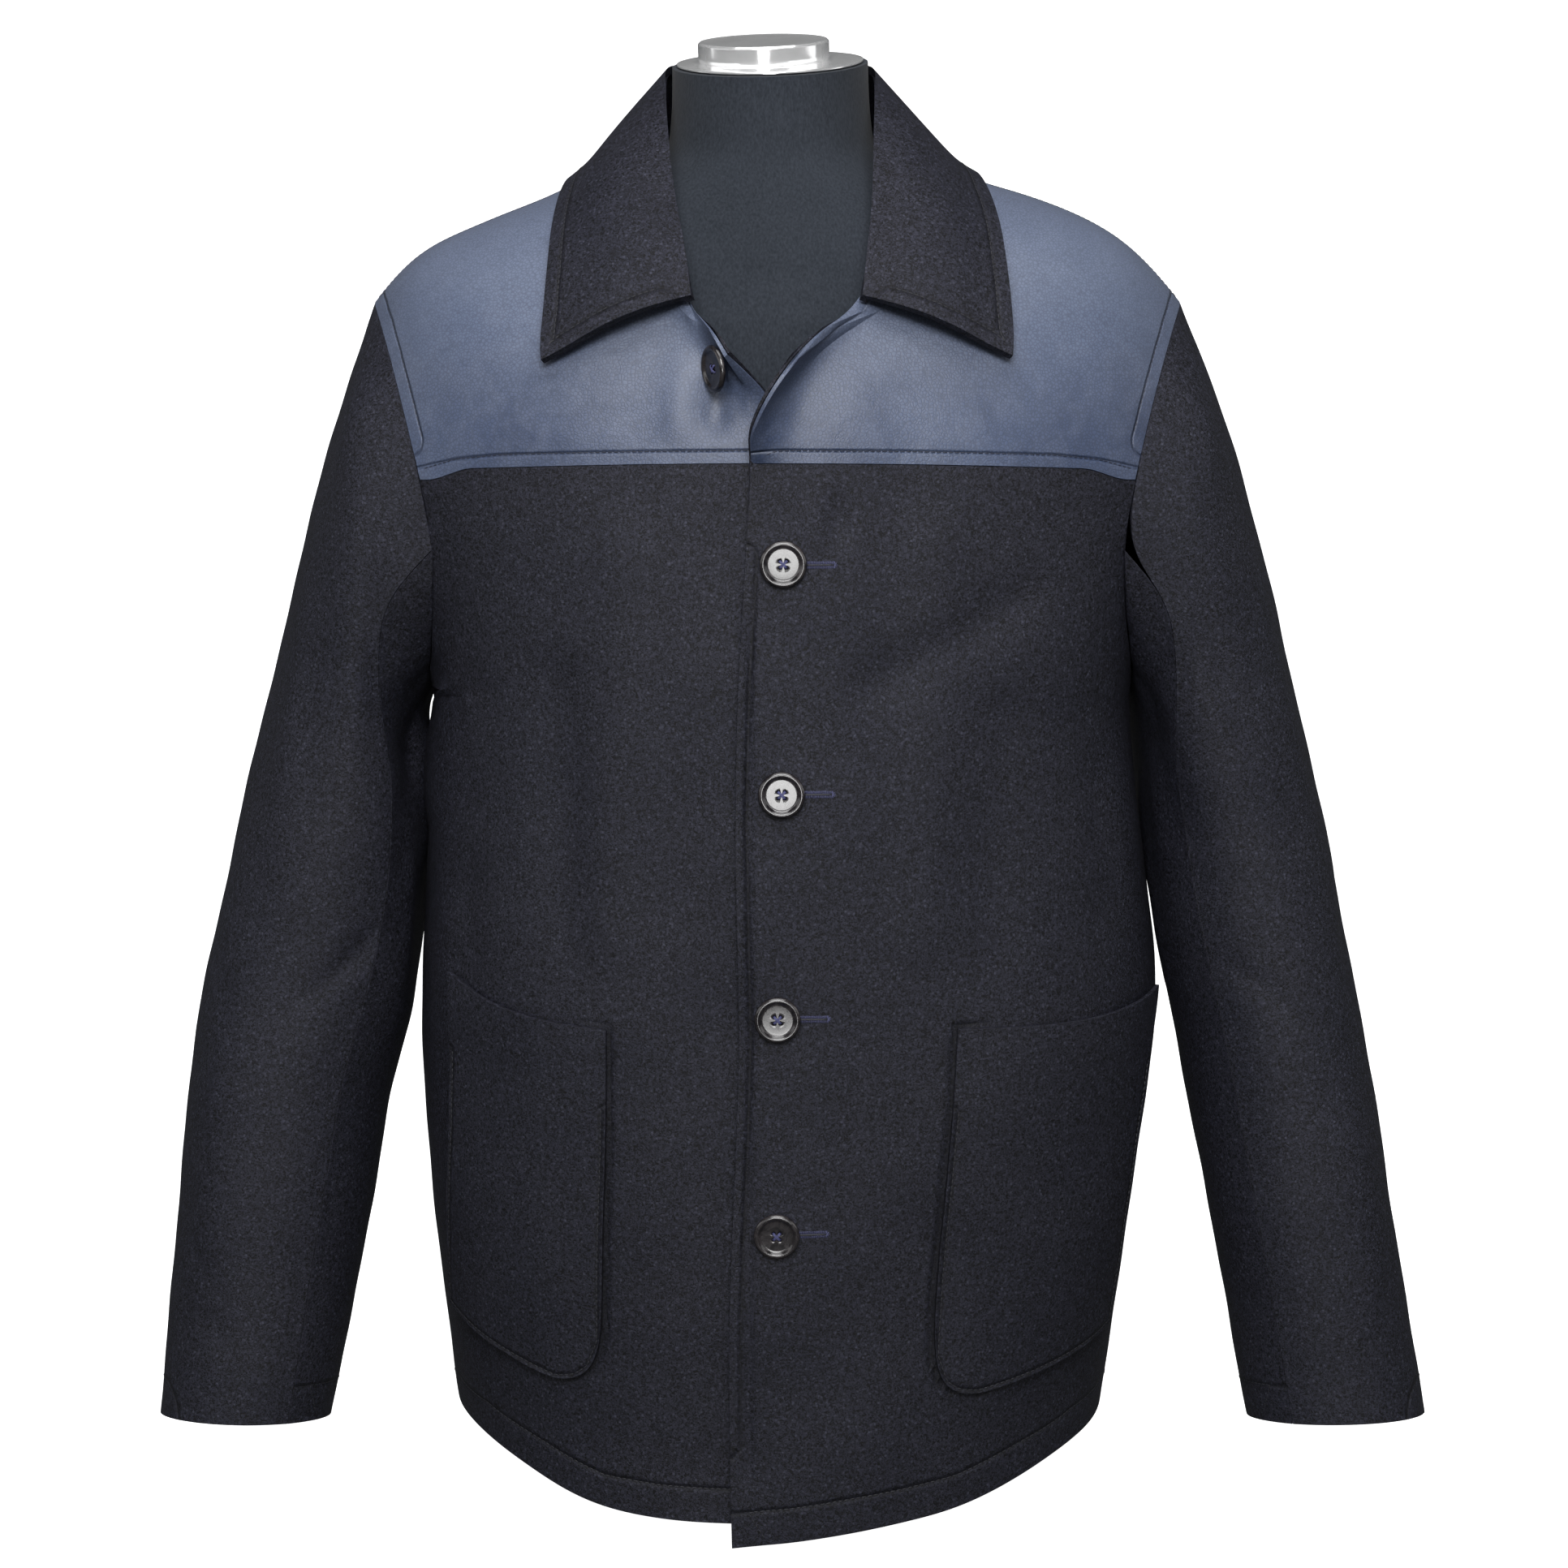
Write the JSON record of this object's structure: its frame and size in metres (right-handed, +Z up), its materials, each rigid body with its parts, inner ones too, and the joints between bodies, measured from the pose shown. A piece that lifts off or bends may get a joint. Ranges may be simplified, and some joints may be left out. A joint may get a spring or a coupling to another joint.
{
  "type": "donkey jacket on a limbless dress form",
  "caption": "Hip-length wool work jacket with glossy yoke panels, patch pockets and front buttons, worn by a limbless dress form on a flat base.",
  "frame": {"origin": "centre of the flat base of the dress form, on the floor", "axes": "+Z up, -Y out of the front of the jacket, +X to the wearer's left"},
  "size_m": [0.746, 0.3055, 0.8546],
  "materials": {
    "navy_melton": "matt fulled wool with a short nap",
    "navy_leather": "glossy navy leather with a fine grain",
    "dark_horn": "polished dark horn with a raised rim",
    "slate_jersey": "fine slate blue knitted jersey, stretched over the form",
    "chrome": "polished chrome"
  },
  "bodies": {
    "root": {"back": "navy_melton", "left_front": "navy_melton", "right_front": "navy_melton", "left_upper_sleeve": "navy_melton", "left_under_sleeve": "navy_melton", "right_upper_sleeve": "navy_melton", "right_under_sleeve": "navy_melton", "left_facing": "navy_melton", "right_facing": "navy_melton", "collar": "navy_melton", "left_patch_pocket": "navy_melton", "right_patch_pocket": "navy_melton", "back_yoke": "navy_leather", "left_front_yoke": "navy_leather", "right_front_yoke": "navy_leather", "button_1": "dark_horn", "button_2": "dark_horn", "button_3": "dark_horn", "button_4": "dark_horn", "button_5": "dark_horn", "dress_form": "slate_jersey", "neck_cap": "chrome"}
  },
  "joints": []
}
